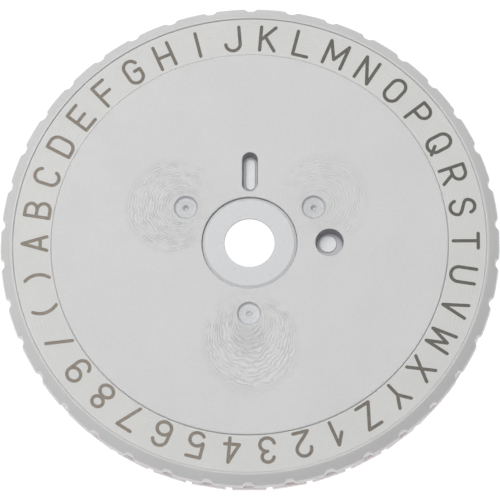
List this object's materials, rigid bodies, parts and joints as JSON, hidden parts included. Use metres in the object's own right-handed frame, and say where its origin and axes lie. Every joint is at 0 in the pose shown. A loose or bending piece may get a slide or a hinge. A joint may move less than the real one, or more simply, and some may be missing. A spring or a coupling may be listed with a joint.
{
  "type": "character wheel of an embossing label maker",
  "caption": "Round dial wheel with a lettered ring, notched rim, hub bush, die ring and a slit disc of spring fingers that press characters into label tape.",
  "frame": {"origin": "centre of the rest face, on the wheel's axis", "axes": "+Z along the wheel's axis, out of the dial; +Y from the axis to the drive slot; +X from the axis to the drive hole"},
  "size_m": [0.08, 0.08, 0.008],
  "materials": {
    "dial_plastic": "pale grey moulded plastic, satin",
    "index_plastic": "pale grey plastic ring, laser-marked characters",
    "hub_plastic": "cool grey bearing plastic, smooth",
    "finger_plastic": "natural, faintly pink spring plastic",
    "die_plastic": "mid grey filled plastic",
    "spring_steel": "phosphated spring steel",
    "zinc_steel": "zinc-plated steel"
  },
  "bodies": {
    "hub": {"hub_bush": "hub_plastic", "retaining_ring": "spring_steel", "thrust_washer": "spring_steel"},
    "wheel": {"dial_disc": "dial_plastic", "index_ring": "index_plastic", "die_ring": "die_plastic", "finger_hub": "finger_plastic", "back_cap": "dial_plastic", "back_screw_1": "zinc_steel", "back_screw_2": "zinc_steel", "back_screw_3": "zinc_steel"},
    "finger_K": {"finger_K": "finger_plastic"},
    "finger_L": {"finger_L": "finger_plastic"},
    "finger_M": {"finger_M": "finger_plastic"},
    "finger_N": {"finger_N": "finger_plastic"},
    "finger_O": {"finger_O": "finger_plastic"},
    "finger_P": {"finger_P": "finger_plastic"},
    "finger_Q": {"finger_Q": "finger_plastic"},
    "finger_R": {"finger_R": "finger_plastic"},
    "finger_S": {"finger_S": "finger_plastic"},
    "finger_T": {"finger_T": "finger_plastic"},
    "finger_U": {"finger_U": "finger_plastic"},
    "finger_V": {"finger_V": "finger_plastic"},
    "finger_W": {"finger_W": "finger_plastic"},
    "finger_X": {"finger_X": "finger_plastic"},
    "finger_Y": {"finger_Y": "finger_plastic"},
    "finger_Z": {"finger_Z": "finger_plastic"},
    "finger_1": {"finger_1": "finger_plastic"},
    "finger_2": {"finger_2": "finger_plastic"},
    "finger_3": {"finger_3": "finger_plastic"},
    "finger_4": {"finger_4": "finger_plastic"},
    "finger_5": {"finger_5": "finger_plastic"},
    "finger_6": {"finger_6": "finger_plastic"},
    "finger_7": {"finger_7": "finger_plastic"},
    "finger_8": {"finger_8": "finger_plastic"},
    "finger_9": {"finger_9": "finger_plastic"},
    "finger_slash": {"finger_slash": "finger_plastic"},
    "finger_paren_open": {"finger_paren_open": "finger_plastic"},
    "finger_paren_close": {"finger_paren_close": "finger_plastic"},
    "finger_A": {"finger_A": "finger_plastic"},
    "finger_B": {"finger_B": "finger_plastic"},
    "finger_C": {"finger_C": "finger_plastic"},
    "finger_D": {"finger_D": "finger_plastic"},
    "finger_E": {"finger_E": "finger_plastic"},
    "finger_F": {"finger_F": "finger_plastic"},
    "finger_G": {"finger_G": "finger_plastic"},
    "finger_H": {"finger_H": "finger_plastic"},
    "finger_I": {"finger_I": "finger_plastic"},
    "finger_J": {"finger_J": "finger_plastic"}
  },
  "joints": [
    {"name": "wheel_spin", "type": "hinge", "parent": "hub", "child": "wheel", "pos_m": [0, 0, 0.003], "axis": [0, 0, 1], "continuous": true},
    {"name": "finger_K_flex", "type": "hinge", "parent": "wheel", "child": "finger_K", "pos_m": [0.01993, -0.00165, 0.0017], "axis": [-0.0826, -0.9966, 0], "range_deg": [0, 1.5], "stiffness_Nm_per_rad": 0.011},
    {"name": "finger_L_flex", "type": "hinge", "parent": "wheel", "child": "finger_L", "pos_m": [0.01939, -0.00491, 0.0017], "axis": [-0.2455, -0.9694, 0], "range_deg": [0, 1.5], "stiffness_Nm_per_rad": 0.011},
    {"name": "finger_M_flex", "type": "hinge", "parent": "wheel", "child": "finger_M", "pos_m": [0.01832, -0.00803, 0.0017], "axis": [-0.4017, -0.9158, 0], "range_deg": [0, 1.5], "stiffness_Nm_per_rad": 0.011},
    {"name": "finger_N_flex", "type": "hinge", "parent": "wheel", "child": "finger_N", "pos_m": [0.01674, -0.01094, 0.0017], "axis": [-0.5469, -0.8372, 0], "range_deg": [0, 1.5], "stiffness_Nm_per_rad": 0.011},
    {"name": "finger_O_flex", "type": "hinge", "parent": "wheel", "child": "finger_O", "pos_m": [0.01471, -0.01355, 0.0017], "axis": [-0.6773, -0.7357, 0], "range_deg": [0, 1.5], "stiffness_Nm_per_rad": 0.011},
    {"name": "finger_P_flex", "type": "hinge", "parent": "wheel", "child": "finger_P", "pos_m": [0.01228, -0.01578, 0.0017], "axis": [-0.7891, -0.6142, 0], "range_deg": [0, 1.5], "stiffness_Nm_per_rad": 0.011},
    {"name": "finger_Q_flex", "type": "hinge", "parent": "wheel", "child": "finger_Q", "pos_m": [0.00952, -0.01759, 0.0017], "axis": [-0.8795, -0.4759, 0], "range_deg": [0, 1.5], "stiffness_Nm_per_rad": 0.011},
    {"name": "finger_R_flex", "type": "hinge", "parent": "wheel", "child": "finger_R", "pos_m": [0.00649, -0.01892, 0.0017], "axis": [-0.9458, -0.3247, 0], "range_deg": [0, 1.5], "stiffness_Nm_per_rad": 0.011},
    {"name": "finger_S_flex", "type": "hinge", "parent": "wheel", "child": "finger_S", "pos_m": [0.00329, -0.01973, 0.0017], "axis": [-0.9864, -0.1646, 0], "range_deg": [0, 1.5], "stiffness_Nm_per_rad": 0.011},
    {"name": "finger_T_flex", "type": "hinge", "parent": "wheel", "child": "finger_T", "pos_m": [0, -0.02, 0.0017], "axis": [-1, 0, 0], "range_deg": [0, 1.5], "stiffness_Nm_per_rad": 0.011},
    {"name": "finger_U_flex", "type": "hinge", "parent": "wheel", "child": "finger_U", "pos_m": [-0.00329, -0.01973, 0.0017], "axis": [-0.9864, 0.1646, 0], "range_deg": [0, 1.5], "stiffness_Nm_per_rad": 0.011},
    {"name": "finger_V_flex", "type": "hinge", "parent": "wheel", "child": "finger_V", "pos_m": [-0.00649, -0.01892, 0.0017], "axis": [-0.9458, 0.3247, 0], "range_deg": [0, 1.5], "stiffness_Nm_per_rad": 0.011},
    {"name": "finger_W_flex", "type": "hinge", "parent": "wheel", "child": "finger_W", "pos_m": [-0.00952, -0.01759, 0.0017], "axis": [-0.8795, 0.4759, 0], "range_deg": [0, 1.5], "stiffness_Nm_per_rad": 0.011},
    {"name": "finger_X_flex", "type": "hinge", "parent": "wheel", "child": "finger_X", "pos_m": [-0.01228, -0.01578, 0.0017], "axis": [-0.7891, 0.6142, 0], "range_deg": [0, 1.5], "stiffness_Nm_per_rad": 0.011},
    {"name": "finger_Y_flex", "type": "hinge", "parent": "wheel", "child": "finger_Y", "pos_m": [-0.01471, -0.01355, 0.0017], "axis": [-0.6773, 0.7357, 0], "range_deg": [0, 1.5], "stiffness_Nm_per_rad": 0.011},
    {"name": "finger_Z_flex", "type": "hinge", "parent": "wheel", "child": "finger_Z", "pos_m": [-0.01674, -0.01094, 0.0017], "axis": [-0.5469, 0.8372, 0], "range_deg": [0, 1.5], "stiffness_Nm_per_rad": 0.011},
    {"name": "finger_1_flex", "type": "hinge", "parent": "wheel", "child": "finger_1", "pos_m": [-0.01832, -0.00803, 0.0017], "axis": [-0.4017, 0.9158, 0], "range_deg": [0, 1.5], "stiffness_Nm_per_rad": 0.011},
    {"name": "finger_2_flex", "type": "hinge", "parent": "wheel", "child": "finger_2", "pos_m": [-0.01939, -0.00491, 0.0017], "axis": [-0.2455, 0.9694, 0], "range_deg": [0, 1.5], "stiffness_Nm_per_rad": 0.011},
    {"name": "finger_3_flex", "type": "hinge", "parent": "wheel", "child": "finger_3", "pos_m": [-0.01993, -0.00165, 0.0017], "axis": [-0.0826, 0.9966, 0], "range_deg": [0, 1.5], "stiffness_Nm_per_rad": 0.011},
    {"name": "finger_4_flex", "type": "hinge", "parent": "wheel", "child": "finger_4", "pos_m": [-0.01993, 0.00165, 0.0017], "axis": [0.0826, 0.9966, 0], "range_deg": [0, 1.5], "stiffness_Nm_per_rad": 0.011},
    {"name": "finger_5_flex", "type": "hinge", "parent": "wheel", "child": "finger_5", "pos_m": [-0.01939, 0.00491, 0.0017], "axis": [0.2455, 0.9694, 0], "range_deg": [0, 1.5], "stiffness_Nm_per_rad": 0.011},
    {"name": "finger_6_flex", "type": "hinge", "parent": "wheel", "child": "finger_6", "pos_m": [-0.01832, 0.00803, 0.0017], "axis": [0.4017, 0.9158, 0], "range_deg": [0, 1.5], "stiffness_Nm_per_rad": 0.011},
    {"name": "finger_7_flex", "type": "hinge", "parent": "wheel", "child": "finger_7", "pos_m": [-0.01674, 0.01094, 0.0017], "axis": [0.5469, 0.8372, 0], "range_deg": [0, 1.5], "stiffness_Nm_per_rad": 0.011},
    {"name": "finger_8_flex", "type": "hinge", "parent": "wheel", "child": "finger_8", "pos_m": [-0.01471, 0.01355, 0.0017], "axis": [0.6773, 0.7357, 0], "range_deg": [0, 1.5], "stiffness_Nm_per_rad": 0.011},
    {"name": "finger_9_flex", "type": "hinge", "parent": "wheel", "child": "finger_9", "pos_m": [-0.01228, 0.01578, 0.0017], "axis": [0.7891, 0.6142, 0], "range_deg": [0, 1.5], "stiffness_Nm_per_rad": 0.011},
    {"name": "finger_slash_flex", "type": "hinge", "parent": "wheel", "child": "finger_slash", "pos_m": [-0.00952, 0.01759, 0.0017], "axis": [0.8795, 0.4759, 0], "range_deg": [0, 1.5], "stiffness_Nm_per_rad": 0.011},
    {"name": "finger_paren_open_flex", "type": "hinge", "parent": "wheel", "child": "finger_paren_open", "pos_m": [-0.00649, 0.01892, 0.0017], "axis": [0.9458, 0.3247, 0], "range_deg": [0, 1.5], "stiffness_Nm_per_rad": 0.011},
    {"name": "finger_paren_close_flex", "type": "hinge", "parent": "wheel", "child": "finger_paren_close", "pos_m": [-0.00329, 0.01973, 0.0017], "axis": [0.9864, 0.1646, 0], "range_deg": [0, 1.5], "stiffness_Nm_per_rad": 0.011},
    {"name": "finger_A_flex", "type": "hinge", "parent": "wheel", "child": "finger_A", "pos_m": [0, 0.02, 0.0017], "axis": [1, 0, 0], "range_deg": [0, 1.5], "stiffness_Nm_per_rad": 0.011},
    {"name": "finger_B_flex", "type": "hinge", "parent": "wheel", "child": "finger_B", "pos_m": [0.00329, 0.01973, 0.0017], "axis": [0.9864, -0.1646, 0], "range_deg": [0, 1.5], "stiffness_Nm_per_rad": 0.011},
    {"name": "finger_C_flex", "type": "hinge", "parent": "wheel", "child": "finger_C", "pos_m": [0.00649, 0.01892, 0.0017], "axis": [0.9458, -0.3247, 0], "range_deg": [0, 1.5], "stiffness_Nm_per_rad": 0.011},
    {"name": "finger_D_flex", "type": "hinge", "parent": "wheel", "child": "finger_D", "pos_m": [0.00952, 0.01759, 0.0017], "axis": [0.8795, -0.4759, 0], "range_deg": [0, 1.5], "stiffness_Nm_per_rad": 0.011},
    {"name": "finger_E_flex", "type": "hinge", "parent": "wheel", "child": "finger_E", "pos_m": [0.01228, 0.01578, 0.0017], "axis": [0.7891, -0.6142, 0], "range_deg": [0, 1.5], "stiffness_Nm_per_rad": 0.011},
    {"name": "finger_F_flex", "type": "hinge", "parent": "wheel", "child": "finger_F", "pos_m": [0.01471, 0.01355, 0.0017], "axis": [0.6773, -0.7357, 0], "range_deg": [0, 1.5], "stiffness_Nm_per_rad": 0.011},
    {"name": "finger_G_flex", "type": "hinge", "parent": "wheel", "child": "finger_G", "pos_m": [0.01674, 0.01094, 0.0017], "axis": [0.5469, -0.8372, 0], "range_deg": [0, 1.5], "stiffness_Nm_per_rad": 0.011},
    {"name": "finger_H_flex", "type": "hinge", "parent": "wheel", "child": "finger_H", "pos_m": [0.01832, 0.00803, 0.0017], "axis": [0.4017, -0.9158, 0], "range_deg": [0, 1.5], "stiffness_Nm_per_rad": 0.011},
    {"name": "finger_I_flex", "type": "hinge", "parent": "wheel", "child": "finger_I", "pos_m": [0.01939, 0.00491, 0.0017], "axis": [0.2455, -0.9694, 0], "range_deg": [0, 1.5], "stiffness_Nm_per_rad": 0.011},
    {"name": "finger_J_flex", "type": "hinge", "parent": "wheel", "child": "finger_J", "pos_m": [0.01993, 0.00165, 0.0017], "axis": [0.0826, -0.9966, 0], "range_deg": [0, 1.5], "stiffness_Nm_per_rad": 0.011}
  ]
}
